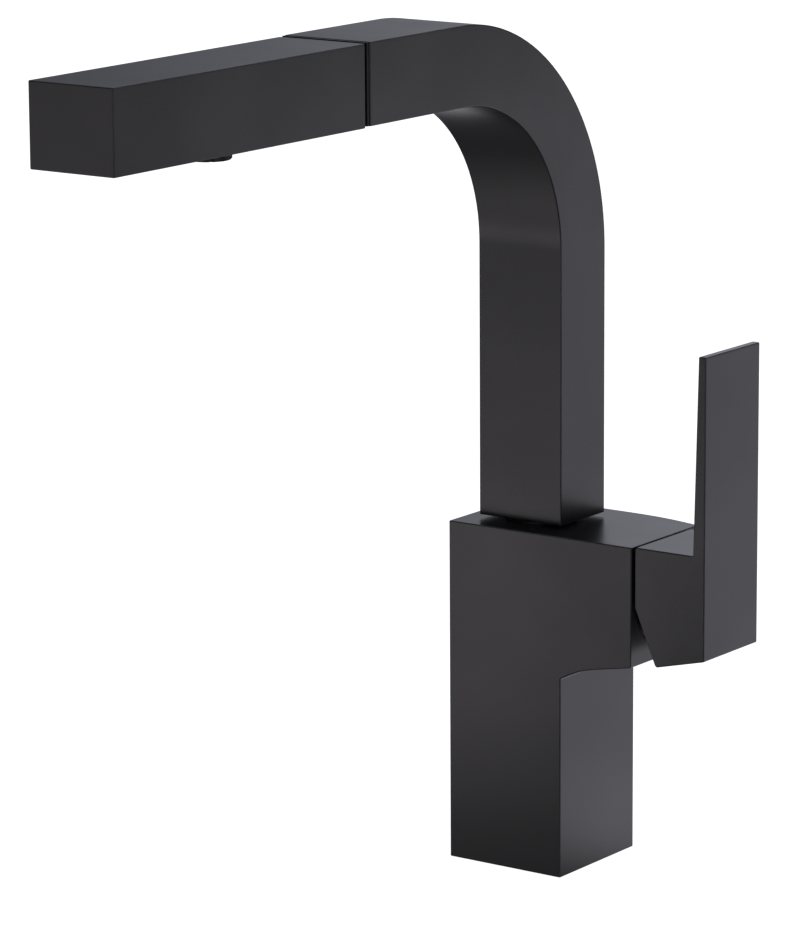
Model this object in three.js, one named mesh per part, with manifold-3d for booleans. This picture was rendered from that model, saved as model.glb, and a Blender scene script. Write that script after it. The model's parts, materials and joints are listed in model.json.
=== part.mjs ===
// Square pull-out kitchen mixer: flag-shaped body, swivelling square spout, a spray head that
// pulls out of the spout's mouth, and a side lever on a ceramic cartridge.
// Millimetres, +Z up. Origin: centre of the body's underside, on the deck. The spout points
// along -Y and the lever stands on the +X side.
import * as THREE from 'three';
import { mergeVertices } from 'three/addons/utils/BufferGeometryUtils.js';
import Module from 'manifold-3d';

const wasm = await Module();
wasm.setup();

// ---------------------------------------------------------------- driving dimensions
const CLEARANCE = 0.3;                 // gap between pieces that touch
const OVERCUT = 1;                     // how far a cutter runs past a face
const SIDES = 24;                      // facets of a round piece
const ARC_POINTS = 16;                 // points on a quarter bend

const BODY_SIDE = 50;                  // square column
const BODY_WALL = 4;
const HEAD_TOP = 130.4;
const HEAD_RIGHT = 56;                 // lever-side face of the head
const HEAD_UNDER = 85.2;               // height of the head's underside at that face
const HEAD_SLOPE = 0.185;              // rise of the underside per mm towards the lever
const HEAD_ARC = 45;                   // radius of the underside near the column
const HEAD_ARC_REACH = 15;             // how far from the column that arc runs
const HEAD_BACK_ARC = 107;             // the back face draws in towards the lever on this radius
const CAVITY_TOP = 70;                 // roof of the hose chamber in the column
const HOSE_BORE = 9.2;                 // radius of the hose passage above the chamber

const SPIGOT_RADIUS = 11.2;
const SPIGOT_BORE = 8.6;
const SPIGOT_FLANGE = 12.7;
const SPIGOT_SEAT = 118;               // bottom of the counterbore in the head
const SPIGOT_TOP = 165;
const WASHER_RADIUS = 13.6;
const WASHER_RECESS = 1.2;             // the swivel washer's seat in the top of the head

const SPOUT_WIDTH = 36.6;              // across X
const SPOUT_DEPTH = 29.2;              // riser along Y, and arm along Z
const SPOUT_WALL = 1.8;
const RISER_BOTTOM = 131.6;
const ARM_TOP = 323.6;
const BEND_OUTER = 92;
const BEND_INNER = 60;
const MOUTH_Y = -132;                  // open end of the spout
const COLLAR_FACE_Y = -133.6;          // front of the docking collar
const SPRAY_REAR_Y = -134.7;
const SPRAY_TIP_Y = -270.3;
const SPRAY_TIP_WIDTH = 35.2;          // the spray head narrows slightly towards its tip
const SPRAY_DROP = 0.35;               // the spray head sits this much lower than the arm

const HOSE_RADIUS = 6.2;
const NECK_RADIUS = 10;
const AERATOR_Y = -199;
const AERATOR_RADIUS = 8.1;
const AERATOR_DROP = 4;                // how far the aerator stands out of the underside

const CARTRIDGE_Y = -5.6;
const CARTRIDGE_Z = 107.3;
const CARTRIDGE_START = 21;            // inner end of the cartridge bore along X
const CARTRIDGE_RADIUS = 14;
const NUT_RADIUS = 15.4;
const NUT_BORE_START = 46;
const ROTOR_RADIUS = 10;
const LEVER_PIVOT_X = 48.5;

const LEVER_FRONT_Y = -23.6;
const LEVER_BACK_Y = 13.1;
const LEVER_LEFT = 56.6;
const LEVER_RIGHT = 86.5;
const LEVER_TOP = 203.8;
const LEVER_SLOPE = 0.235;             // rise of the block's underside per mm
const PADDLE_TOP_X = 83.4;             // inner face of the paddle at its top
const PADDLE_FOOT_X = 81.5;            // and where it meets the block
const STEM_SIDE = 8;
const STEM_START = 39.5;
const STEM_END = 70;

const ARM_BOTTOM = ARM_TOP - SPOUT_DEPTH;
const ARM_MIDDLE = ARM_TOP - SPOUT_DEPTH / 2;
const HALF_BODY = BODY_SIDE / 2;
const HALF_WIDTH = SPOUT_WIDTH / 2;
const HALF_DEPTH = SPOUT_DEPTH / 2;

// ---------------------------------------------------------------- finishes
const finish = (color, roughness, metalness) => ({ color, roughness, metalness });
const BLACK_COAT = finish(0x26262a, 0.45, 0.3);
const BRASS = finish(0xb5924c, 0.35, 1);
const STEEL = finish(0xb9bcc0, 0.3, 1);
const BLACK_PLASTIC = finish(0x1c1c1e, 0.55, 0);
const GREY_PLASTIC = finish(0x8c9094, 0.5, 0);
const WHITE_PLASTIC = finish(0xd9dad6, 0.5, 0);
const CERAMIC = finish(0xe9e6dd, 0.2, 0);
const RUBBER = finish(0x151515, 0.8, 0);
const BRAID = finish(0x3a3b3f, 0.7, 0);

// ---------------------------------------------------------------- solids
function solidOf(geometry) {
  geometry.deleteAttribute('normal');
  geometry.deleteAttribute('uv');
  const merged = mergeVertices(geometry, 1e-4);
  return new wasm.Manifold(new wasm.Mesh({
    numProp: 3,
    vertProperties: new Float32Array(merged.attributes.position.array),
    triVerts: new Uint32Array(merged.index.array),
  }));
}

function geometryOf(solid) {
  const mesh = solid.getMesh();
  const geometry = new THREE.BufferGeometry();
  geometry.setAttribute('position', new THREE.BufferAttribute(mesh.vertProperties, 3));
  geometry.setIndex(new THREE.BufferAttribute(mesh.triVerts, 1));
  geometry.computeVertexNormals();
  return geometry;
}

function block(x0, x1, y0, y1, z0, z1) {
  const geometry = new THREE.BoxGeometry(x1 - x0, y1 - y0, z1 - z0);
  geometry.translate((x0 + x1) / 2, (y0 + y1) / 2, (z0 + z1) / 2);
  return solidOf(geometry);
}

// Turns a shape whose length runs along its own Z so that it runs along the named axis.
const TO_AXIS = {
  x: (geometry) => geometry.rotateY(Math.PI / 2),
  y: (geometry) => geometry.rotateX(-Math.PI / 2),
  z: (geometry) => geometry,
};

// A round solid along an axis; `at` is a point on its centre line.
function rod(axis, radius, from, to, at = [0, 0, 0], sides = SIDES) {
  const geometry = new THREE.CylinderGeometry(radius, radius, to - from, sides);
  geometry.rotateX(Math.PI / 2);
  geometry.translate(0, 0, (from + to) / 2);
  TO_AXIS[axis](geometry);
  geometry.translate(...at);
  return solidOf(geometry);
}

// A round solid turned from a closed profile of [radius, distance along the axis] points,
// listed anticlockwise with the radius to the right and the distance upwards.
function turned(axis, profile, at = [0, 0, 0], sides = SIDES) {
  const points = [...profile, profile[0]].map(([radius, along]) => new THREE.Vector2(radius, along));
  const geometry = new THREE.LatheGeometry(points, sides);
  geometry.rotateX(Math.PI / 2);
  TO_AXIS[axis](geometry);
  geometry.translate(...at);
  return solidOf(geometry);
}

function ring(axis, inner, outer, from, to, at, sides) {
  return turned(axis, [[inner, from], [outer, from], [outer, to], [inner, to]], at, sides);
}

// An outline of [x, z] points pushed through from y0 to y1.
function acrossY(points, y0, y1) {
  const shape = new THREE.Shape(points.map(([x, z]) => new THREE.Vector2(x, z)));
  const geometry = new THREE.ExtrudeGeometry(shape, { depth: y1 - y0, bevelEnabled: false });
  geometry.rotateX(Math.PI / 2);
  geometry.translate(0, y1, 0);
  return solidOf(geometry);
}

// An outline of [y, z] points pushed through from -halfWidth to +halfWidth along X.
function acrossX(points, halfWidth) {
  const shape = new THREE.Shape(points.map(([y, z]) => new THREE.Vector2(y, z)));
  const geometry = new THREE.ExtrudeGeometry(shape, { depth: 2 * halfWidth, bevelEnabled: false });
  geometry.translate(0, 0, -halfWidth);
  geometry.applyMatrix4(new THREE.Matrix4().makeBasis(
    new THREE.Vector3(0, 1, 0), new THREE.Vector3(0, 0, 1), new THREE.Vector3(1, 0, 0),
  ));
  return solidOf(geometry);
}

// Points along an arc of the given centre and radius, angles in degrees.
function arc(centre, radius, from, to, count = ARC_POINTS) {
  return Array.from({ length: count + 1 }, (unused, index) => {
    const angle = THREE.MathUtils.degToRad(from + (to - from) * index / count);
    return [centre[0] + radius * Math.cos(angle), centre[1] + radius * Math.sin(angle)];
  });
}

const group = new THREE.Group();

function add(name, solid, look) {
  const mesh = new THREE.Mesh(geometryOf(solid), new THREE.MeshStandardMaterial(look));
  mesh.name = name;
  group.add(mesh);
}

const minus = (solid, ...cutters) => cutters.reduce((left, cutter) => left.subtract(cutter), solid);
const plus = (solid, ...more) => more.reduce((left, other) => left.add(other), solid);

// ---------------------------------------------------------------- body
const STUD_BOSS_X = -16;               // boss on the chamber's left wall for the fixing stud
const STUD_BOSS_RADIUS = 5.4;
const STUD_HOLE_RADIUS = 3.4;          // tapped M8
const STUD_HOLE_DEPTH = 30;
const SEAL_DEPTH = 1.8;
const INLET_RADIUS = 4.6;
const PORT_RADIUS = 3;
const PORT_X = 16;
const INLET_SOCKET_TOP = 84;
const INLET_PORT_Z = 102.3;
const OUTLET_PORT_Z = 113.3;
const PORT_OFFSET = 7;                 // inlet ports either side of the cartridge axis
const OUTLET_SOCKET_Y = 11;
const cartridgeAt = [0, CARTRIDGE_Y, CARTRIDGE_Z];

// The underside rises in a straight line to the lever side and curves down to the column.
function bodyOutline() {
  const slopeAngle = Math.atan(HEAD_SLOPE);
  const tangentX = HALF_BODY + HEAD_ARC_REACH;
  const tangentZ = HEAD_UNDER - HEAD_SLOPE * (HEAD_RIGHT - tangentX);
  const centre = [tangentX + HEAD_ARC * Math.sin(slopeAngle), tangentZ - HEAD_ARC * Math.cos(slopeAngle)];
  const atColumn = THREE.MathUtils.radToDeg(Math.acos((HALF_BODY - centre[0]) / HEAD_ARC));
  const atTangent = 90 + THREE.MathUtils.radToDeg(slopeAngle);
  return [
    [-HALF_BODY, 0],
    [HALF_BODY, 0],
    ...arc(centre, HEAD_ARC, atColumn, atTangent, 6),
    [HEAD_RIGHT, HEAD_UNDER],
    [HEAD_RIGHT, HEAD_TOP],
    [-HALF_BODY, HEAD_TOP],
  ];
}

// Cuts the head's back face to its arc, which is tangent to the column's flat back.
function backCut() {
  const end = HEAD_RIGHT + OVERCUT;
  const past = HALF_BODY + OVERCUT;
  const sweep = THREE.MathUtils.radToDeg(Math.asin((end - HALF_BODY) / HEAD_BACK_ARC));
  const curve = arc([HALF_BODY, HALF_BODY - HEAD_BACK_ARC], HEAD_BACK_ARC, 90, 90 - sweep, 8);
  const points = [...curve, [end, past], [HALF_BODY, past]];
  const shape = new THREE.Shape(points.map(([x, y]) => new THREE.Vector2(x, y)));
  const geometry = new THREE.ExtrudeGeometry(shape, { depth: HEAD_TOP, bevelEnabled: false });
  geometry.translate(0, 0, OVERCUT);
  return solidOf(geometry);
}

// Two supply sockets and one outlet socket in the chamber's roof, and the drillings that join
// them to the floor of the cartridge bore.
function waterways() {
  const inlets = [CARTRIDGE_Y - PORT_OFFSET, CARTRIDGE_Y + PORT_OFFSET].flatMap((y) => [
    rod('z', INLET_RADIUS, CAVITY_TOP - OVERCUT, INLET_SOCKET_TOP, [PORT_X, y, 0]),
    rod('z', PORT_RADIUS, INLET_SOCKET_TOP - OVERCUT, INLET_PORT_Z, [PORT_X, y, 0]),
    rod('x', PORT_RADIUS, PORT_X, CARTRIDGE_START + OVERCUT, [0, y, INLET_PORT_Z]),
  ]);
  const outlet = [
    rod('z', PORT_RADIUS, CAVITY_TOP - OVERCUT, OUTLET_PORT_Z, [PORT_X, OUTLET_SOCKET_Y, 0]),
    rod('y', PORT_RADIUS, CARTRIDGE_Y, OUTLET_SOCKET_Y, [PORT_X, 0, OUTLET_PORT_Z]),
    rod('x', PORT_RADIUS, PORT_X, CARTRIDGE_START + OVERCUT, [0, CARTRIDGE_Y, OUTLET_PORT_Z]),
  ];
  return [...inlets, ...outlet];
}

function faucetBody() {
  const half = HALF_BODY - BODY_WALL;
  const sealOuter = HALF_BODY - 1;
  const sealInner = HALF_BODY - 3;
  const studAt = [STUD_BOSS_X, 0, 0];
  const chamber = minus(
    block(-half, half, -half, half, -OVERCUT, CAVITY_TOP),
    rod('z', STUD_BOSS_RADIUS, 0, CAVITY_TOP + OVERCUT, studAt),
  );
  const sealGroove = minus(
    block(-sealOuter, sealOuter, -sealOuter, sealOuter, -OVERCUT, SEAL_DEPTH),
    block(-sealInner, sealInner, -sealInner, sealInner, -2 * OVERCUT, SEAL_DEPTH + OVERCUT),
  );
  return minus(
    acrossY(bodyOutline(), -HALF_BODY, HALF_BODY),
    backCut(),
    chamber,
    sealGroove,
    rod('z', STUD_HOLE_RADIUS, -OVERCUT, STUD_HOLE_DEPTH, studAt),
    rod('z', HOSE_BORE, CAVITY_TOP - OVERCUT, SPIGOT_SEAT + OVERCUT),
    rod('z', SPIGOT_FLANGE + CLEARANCE, SPIGOT_SEAT, HEAD_TOP + OVERCUT),
    rod('z', WASHER_RADIUS + CLEARANCE, HEAD_TOP - WASHER_RECESS, HEAD_TOP + OVERCUT),
    rod('x', CARTRIDGE_RADIUS + CLEARANCE, CARTRIDGE_START, HEAD_RIGHT, cartridgeAt),
    rod('x', NUT_RADIUS + CLEARANCE, NUT_BORE_START, HEAD_RIGHT + OVERCUT, cartridgeAt),
    ...waterways(),
  );
}

function baseSeal() {
  const outer = HALF_BODY - 1 - CLEARANCE;
  const inner = HALF_BODY - 3 + CLEARANCE;
  const top = SEAL_DEPTH - CLEARANCE;
  return minus(
    block(-outer, outer, -outer, outer, 0, top),
    block(-inner, inner, -inner, inner, -OVERCUT, top + OVERCUT),
  );
}

add('faucet_body', faucetBody(), BLACK_COAT);
add('base_seal', baseSeal(), RUBBER);

// ---------------------------------------------------------------- cartridge
const HOUSING_START = 24;
const HOUSING_FLOOR = 28;
const HOUSING_END = 45.7;
const HOUSING_CAVITY = 11;
const DISC_RADIUS = 10.6;
const PIN_RADIUS = 1.5;
const portPlaces = [
  [CARTRIDGE_Y - PORT_OFFSET, INLET_PORT_Z],
  [CARTRIDGE_Y + PORT_OFFSET, INLET_PORT_Z],
  [CARTRIDGE_Y, OUTLET_PORT_Z],
];

function portedDisc(radius, from, to, portRadius) {
  return minus(
    rod('x', radius, from, to, cartridgeAt),
    ...portPlaces.map(([y, z]) => rod('x', portRadius, from - OVERCUT, to + OVERCUT, [0, y, z], 12)),
  );
}

function cartridgeHousing() {
  return minus(
    portedDisc(CARTRIDGE_RADIUS, HOUSING_START, HOUSING_END, 2.4),
    rod('x', HOUSING_CAVITY, HOUSING_FLOOR, HOUSING_END + OVERCUT, cartridgeAt),
  );
}

// Slotted nut: six key slots in its outer face.
function cartridgeNut() {
  const from = NUT_BORE_START + CLEARANCE;
  const to = 51.6;
  const nut = ring('x', ROTOR_RADIUS + CLEARANCE, NUT_RADIUS, from, to, cartridgeAt);
  const slots = Array.from({ length: 6 }, (unused, index) => {
    const geometry = new THREE.BoxGeometry(2.4, 3, 4);
    geometry.translate(to, 0, NUT_RADIUS);
    geometry.rotateX(index * Math.PI / 3);
    geometry.translate(...cartridgeAt);
    return solidOf(geometry);
  });
  return minus(nut, ...slots);
}

function cartridgeCover() {
  const from = 51.9;
  const lip = HEAD_RIGHT - 0.2;
  const inner = ROTOR_RADIUS + CLEARANCE;
  return turned('x', [
    [inner, from],
    [NUT_RADIUS, from],
    [NUT_RADIUS, lip - 1],
    [NUT_RADIUS - 1.5, lip],
    [inner, lip],
  ], cartridgeAt);
}

function movingDisc() {
  const from = HOUSING_FLOOR + 4;
  return minus(
    rod('x', DISC_RADIUS - 1, from, from + 3.2, cartridgeAt),
    block(from - OVERCUT, from + 1.4, CARTRIDGE_Y - 6, CARTRIDGE_Y + 6, CARTRIDGE_Z - 3, CARTRIDGE_Z + 6),
  );
}

// The rotor turns in the housing; its slot lets the stem tilt about the pin.
function cartridgeRotor() {
  const slotHalfY = STEM_SIDE / 2 + CLEARANCE;
  const slotHalfZ = ROTOR_RADIUS - 1;
  const rotorEnd = 54.5;
  return minus(
    rod('x', ROTOR_RADIUS, 35.6, rotorEnd, cartridgeAt),
    block(38, rotorEnd + OVERCUT, CARTRIDGE_Y - slotHalfY, CARTRIDGE_Y + slotHalfY,
      CARTRIDGE_Z - slotHalfZ, CARTRIDGE_Z + slotHalfZ),
    rod('y', PIN_RADIUS + CLEARANCE, CARTRIDGE_Y - 11, CARTRIDGE_Y + 11, [LEVER_PIVOT_X, 0, CARTRIDGE_Z], 16),
  );
}

function stemPin() {
  return rod('y', PIN_RADIUS, CARTRIDGE_Y - 8.6, CARTRIDGE_Y + 8.6, [LEVER_PIVOT_X, 0, CARTRIDGE_Z], 16);
}

function stem() {
  const half = STEM_SIDE / 2;
  return minus(
    block(STEM_START, STEM_END, CARTRIDGE_Y - half, CARTRIDGE_Y + half, CARTRIDGE_Z - half, CARTRIDGE_Z + half),
    rod('y', PIN_RADIUS + CLEARANCE, CARTRIDGE_Y - 5, CARTRIDGE_Y + 5, [LEVER_PIVOT_X, 0, CARTRIDGE_Z], 16),
  );
}

add('cartridge_base_seal', portedDisc(CARTRIDGE_RADIUS - 1, CARTRIDGE_START + CLEARANCE,
  HOUSING_START - CLEARANCE, 2.8), RUBBER);
add('cartridge_housing', cartridgeHousing(), WHITE_PLASTIC);
add('fixed_ceramic_disc', portedDisc(DISC_RADIUS, HOUSING_FLOOR + CLEARANCE,
  HOUSING_FLOOR + 3.7, 2.2), CERAMIC);
add('cartridge_nut', cartridgeNut(), BRASS);
add('cartridge_cover', cartridgeCover(), BLACK_COAT);
add('moving_ceramic_disc', movingDisc(), CERAMIC);
add('cartridge_rotor', cartridgeRotor(), WHITE_PLASTIC);
add('stem_pin', stemPin(), STEEL);
add('cartridge_stem', stem(), STEEL);

// ---------------------------------------------------------------- lever
const GRUB_X = 67.5;
const GRUB_HOLE = 3;

function leverHandle() {
  const blockUnder = HEAD_UNDER + LEVER_SLOPE * (LEVER_RIGHT - HEAD_RIGHT) - 0.8;
  const cornerX = 65.2;
  const cornerZ = blockUnder - LEVER_SLOPE * (LEVER_RIGHT - cornerX);
  const profile = [
    [LEVER_LEFT, CARTRIDGE_Z + 0.6],
    [cornerX, cornerZ],
    [LEVER_RIGHT, blockUnder],
    [LEVER_RIGHT, LEVER_TOP],
    [PADDLE_TOP_X, LEVER_TOP],
    [PADDLE_FOOT_X, HEAD_TOP],
    [LEVER_LEFT, HEAD_TOP],
  ];
  const socket = STEM_SIDE / 2 + CLEARANCE;
  return minus(
    acrossY(profile, LEVER_FRONT_Y, LEVER_BACK_Y),
    block(LEVER_LEFT - OVERCUT, STEM_END + CLEARANCE, CARTRIDGE_Y - socket, CARTRIDGE_Y + socket,
      CARTRIDGE_Z - socket, CARTRIDGE_Z + socket),
    rod('z', GRUB_HOLE, cornerZ - 5, CARTRIDGE_Z, [GRUB_X, CARTRIDGE_Y, 0]),
  );
}

function leverGrubScrew() {
  const top = CARTRIDGE_Z - STEM_SIDE / 2 - CLEARANCE;
  return minus(
    rod('z', GRUB_HOLE - CLEARANCE, top - 7, top, [GRUB_X, CARTRIDGE_Y, 0]),
    rod('z', 1.3, top - 7 - OVERCUT, top - 4, [GRUB_X, CARTRIDGE_Y, 0], 6),
  );
}

function leverPlug() {
  return rod('z', GRUB_HOLE - CLEARANCE, 88, 91.5, [GRUB_X, CARTRIDGE_Y, 0]);
}

add('lever_handle', leverHandle(), BLACK_COAT);
add('lever_grub_screw', leverGrubScrew(), STEEL);
add('lever_screw_plug', leverPlug(), BLACK_PLASTIC);

// ---------------------------------------------------------------- swivel
const STOP_SCREW_Z = 146;
const STOP_SCREW_RADIUS = 1.8;
const GROOVE_FLOOR = 10;
const STOP_ARC = 72;                   // the groove's half angle, in degrees
const BUSH_BOTTOM = RISER_BOTTOM + 0.4;
const BUSH_TOP = 158;

// The groove that the stop screw runs in, cut round the spigot's back.
function stopGroove() {
  const half = STOP_SCREW_RADIUS + 0.5;
  const whole = ring('z', GROOVE_FLOOR, SPIGOT_RADIUS + OVERCUT, STOP_SCREW_Z - half, STOP_SCREW_Z + half);
  const reach = 4 * SPIGOT_RADIUS;
  const sector = [[0, 0], ...arc([0, 0], reach, 90 - STOP_ARC, 90 + STOP_ARC, 6)];
  const shape = new THREE.Shape(sector.map(([x, y]) => new THREE.Vector2(x, y)));
  const geometry = new THREE.ExtrudeGeometry(shape, { depth: 20, bevelEnabled: false });
  geometry.translate(0, 0, STOP_SCREW_Z - 10);
  return whole.intersect(solidOf(geometry));
}

function swivelSpigot() {
  const bottom = SPIGOT_SEAT + CLEARANCE;
  const flangeTop = HEAD_TOP - WASHER_RECESS;
  const clipZ = BUSH_TOP + 1;
  return minus(
    turned('z', [
      [SPIGOT_BORE, bottom],
      [SPIGOT_FLANGE, bottom],
      [SPIGOT_FLANGE, flangeTop],
      [SPIGOT_RADIUS, flangeTop],
      [SPIGOT_RADIUS, clipZ],
      [SPIGOT_RADIUS - 1, clipZ],
      [SPIGOT_RADIUS - 1, clipZ + 1.8],
      [SPIGOT_RADIUS, clipZ + 1.8],
      [SPIGOT_RADIUS, SPIGOT_TOP],
      [SPIGOT_BORE, SPIGOT_TOP],
    ]),
    stopGroove(),
  );
}

// Open snap ring that keeps the spout down on the spigot.
function spigotClip() {
  const from = BUSH_TOP + 1 + CLEARANCE;
  const clip = ring('z', SPIGOT_RADIUS - 1 + CLEARANCE, 12.3, from, from + 1.2);
  return minus(clip, block(-3, 3, 0, 20, from - OVERCUT, from + 3));
}

function spoutBush() {
  const halfX = HALF_WIDTH - SPOUT_WALL - CLEARANCE;
  const halfY = HALF_DEPTH - SPOUT_WALL - CLEARANCE;
  return minus(
    block(-halfX, halfX, -halfY, halfY, BUSH_BOTTOM, BUSH_TOP),
    rod('z', SPIGOT_RADIUS + CLEARANCE, BUSH_BOTTOM - OVERCUT, BUSH_TOP + OVERCUT),
    rod('y', STOP_SCREW_RADIUS + CLEARANCE, 0, HALF_DEPTH, [0, 0, STOP_SCREW_Z], 16),
  );
}

function swivelStopScrew() {
  return minus(
    rod('y', STOP_SCREW_RADIUS, GROOVE_FLOOR + 0.5, HALF_DEPTH - 0.3, [0, 0, STOP_SCREW_Z], 16),
    rod('y', 0.9, HALF_DEPTH - 2, HALF_DEPTH + OVERCUT, [0, 0, STOP_SCREW_Z], 6),
  );
}

add('swivel_spigot', swivelSpigot(), BRASS);
add('swivel_ring', ring('z', SPIGOT_RADIUS + CLEARANCE, WASHER_RADIUS, HEAD_TOP - WASHER_RECESS + CLEARANCE,
  RISER_BOTTOM - CLEARANCE), BLACK_PLASTIC);
add('spigot_clip', spigotClip(), STEEL);
add('spout_bush', spoutBush(), GREY_PLASTIC);
add('swivel_stop_screw', swivelStopScrew(), STEEL);

// ---------------------------------------------------------------- spout
const OUTER_CENTRE = [HALF_DEPTH - BEND_OUTER, ARM_TOP - BEND_OUTER];
const INNER_CENTRE = [-HALF_DEPTH - BEND_INNER, ARM_BOTTOM - BEND_INNER];

// Side outline of the bent square tube, drawn in by `inset`, from `bottom` to `mouth`.
function spoutOutline(inset, bottom, mouth) {
  return [
    [HALF_DEPTH - inset, bottom],
    ...arc(OUTER_CENTRE, BEND_OUTER - inset, 0, 90),
    [mouth, ARM_TOP - inset],
    [mouth, ARM_BOTTOM + inset],
    ...arc(INNER_CENTRE, BEND_INNER + inset, 90, 0),
    [-HALF_DEPTH + inset, bottom],
  ];
}

function spoutTube() {
  return minus(
    acrossX(spoutOutline(0, RISER_BOTTOM, MOUTH_Y), HALF_WIDTH),
    acrossX(spoutOutline(SPOUT_WALL, RISER_BOTTOM - OVERCUT, MOUTH_Y - OVERCUT), HALF_WIDTH - SPOUT_WALL),
    rod('y', STOP_SCREW_RADIUS + CLEARANCE, 0, HALF_DEPTH + OVERCUT, [0, 0, STOP_SCREW_Z], 16),
  );
}

// Flanged sleeve in the spout's mouth that the spray head's neck docks in.
function dockCollar() {
  const halfX = HALF_WIDTH - SPOUT_WALL - CLEARANCE;
  const halfZ = HALF_DEPTH - SPOUT_WALL - CLEARANCE;
  const flangeBack = MOUTH_Y - 0.5;
  const sleeveBack = MOUTH_Y + 20;
  return minus(
    plus(
      block(-HALF_WIDTH, HALF_WIDTH, COLLAR_FACE_Y, flangeBack, ARM_BOTTOM, ARM_TOP),
      block(-halfX, halfX, flangeBack - 0.5, sleeveBack, ARM_MIDDLE - halfZ, ARM_MIDDLE + halfZ),
    ),
    rod('y', NECK_RADIUS + CLEARANCE, COLLAR_FACE_Y - OVERCUT, sleeveBack + OVERCUT, [0, 0, ARM_MIDDLE]),
  );
}

// The hose runs from its connector in the spray head's neck, round the bend and down through
// the spigot and the body to the deck.
const HOSE_FRONT_Y = -117.6;
const HOSE_BEND = 75;

function sprayHose() {
  const bendStart = ARM_MIDDLE - HOSE_BEND;
  const path = new THREE.CurvePath();
  const quarter = 0.5523;              // cubic Bezier handle for a quarter circle
  const up = new THREE.Vector3(0, 0, bendStart);
  const over = new THREE.Vector3(0, -HOSE_BEND, ARM_MIDDLE);
  path.add(new THREE.LineCurve3(new THREE.Vector3(0, 0, 0.5), up));
  path.add(new THREE.CubicBezierCurve3(up, new THREE.Vector3(0, 0, bendStart + HOSE_BEND * quarter),
    new THREE.Vector3(0, -HOSE_BEND * (1 - quarter), ARM_MIDDLE), over));
  path.add(new THREE.LineCurve3(over, new THREE.Vector3(0, HOSE_FRONT_Y, ARM_MIDDLE)));
  const section = new THREE.Shape(arc([0, 0], HOSE_RADIUS, 0, 324, 9).map(([x, y]) => new THREE.Vector2(x, y)));
  return new THREE.ExtrudeGeometry(section, { steps: 40, bevelEnabled: false, extrudePath: path });
}

add('spout_tube', spoutTube(), BLACK_COAT);
add('dock_collar', dockCollar(), BLACK_PLASTIC);
add('spray_hose', solidOf(sprayHose()), BRAID);

// ---------------------------------------------------------------- spray head
const SPRAY_BOTTOM = ARM_BOTTOM - SPRAY_DROP;
const SPRAY_TOP = ARM_TOP - SPRAY_DROP;
const CAP_FRONT_Y = -143;
const NECK_END_Y = -118.5;
const NECK_BORE = 8.2;
const CONNECTOR_FRONT_Y = -150;
const SHELL_SCREW_Y = -139.5;
const BRANCH_RADIUS = 11;
const BRANCH_BORE = AERATOR_RADIUS + CLEARANCE;
const BRANCH_FLOOR = 305.6;
const AERATOR_BOTTOM = SPRAY_BOTTOM - AERATOR_DROP;
const aeratorAt = [0, AERATOR_Y, 0];
const armAt = [0, 0, ARM_MIDDLE];

// A block that narrows from the spray head's rear towards its tip, drawn in by `inset`.
function sprayBlock(inset, front, rear) {
  const narrowing = (SPOUT_WIDTH - SPRAY_TIP_WIDTH) / (SPRAY_REAR_Y - SPRAY_TIP_Y);
  const halfAt = (y) => HALF_WIDTH - inset + narrowing * (y - SPRAY_REAR_Y) / 2;
  const shape = new THREE.Shape([
    new THREE.Vector2(-halfAt(front), front),
    new THREE.Vector2(halfAt(front), front),
    new THREE.Vector2(halfAt(rear), rear),
    new THREE.Vector2(-halfAt(rear), rear),
  ]);
  const depth = SPRAY_TOP - SPRAY_BOTTOM - 2 * inset;
  const geometry = new THREE.ExtrudeGeometry(shape, { depth, bevelEnabled: false });
  geometry.translate(0, 0, SPRAY_BOTTOM + inset);
  return solidOf(geometry);
}

function sprayShell() {
  return minus(
    sprayBlock(0, SPRAY_TIP_Y, SPRAY_REAR_Y),
    sprayBlock(SPOUT_WALL, SPRAY_TIP_Y + SPOUT_WALL, SPRAY_REAR_Y + OVERCUT),
    rod('z', AERATOR_RADIUS + CLEARANCE, SPRAY_BOTTOM - OVERCUT, ARM_MIDDLE, aeratorAt),
    rod('z', 1.5 + CLEARANCE, SPRAY_BOTTOM - OVERCUT, ARM_MIDDLE, [0, SHELL_SCREW_Y, 0], 16),
  );
}

function rearCap() {
  const inset = SPOUT_WALL + CLEARANCE;
  const bottom = SPRAY_BOTTOM + inset;
  return minus(
    plus(
      sprayBlock(inset, CAP_FRONT_Y, SPRAY_REAR_Y + 0.2),
      rod('y', NECK_RADIUS, CAP_FRONT_Y + 1, NECK_END_Y, armAt),
    ),
    rod('y', NECK_BORE, CAP_FRONT_Y - OVERCUT, NECK_END_Y + OVERCUT, armAt),
    ring('y', NECK_RADIUS - 0.9, NECK_RADIUS + OVERCUT, -127, -124.6, armAt),
    rod('z', 1.5 + CLEARANCE, bottom - OVERCUT, bottom + 3, [0, SHELL_SCREW_Y, 0], 16),
  );
}

function shellScrew() {
  const from = SPRAY_BOTTOM + 0.3;
  return minus(
    rod('z', 1.5, from, from + 4, [0, SHELL_SCREW_Y, 0], 16),
    rod('z', 0.8, from - OVERCUT, from + 1.6, [0, SHELL_SCREW_Y, 0], 6),
  );
}

// The connector's front socket takes the waterway's tail; a shoulder inside it seats the washer.
function hoseConnector() {
  return turned('y', [
    [4.2, CONNECTOR_FRONT_Y + 8],
    [6.6, CONNECTOR_FRONT_Y + 8],
    [6.6, CONNECTOR_FRONT_Y],
    [7.9, CONNECTOR_FRONT_Y],
    [7.9, HOSE_FRONT_Y - 6],
    [6.2, HOSE_FRONT_Y - CLEARANCE],
    [4.2, HOSE_FRONT_Y - CLEARANCE],
  ], armAt);
}

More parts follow.
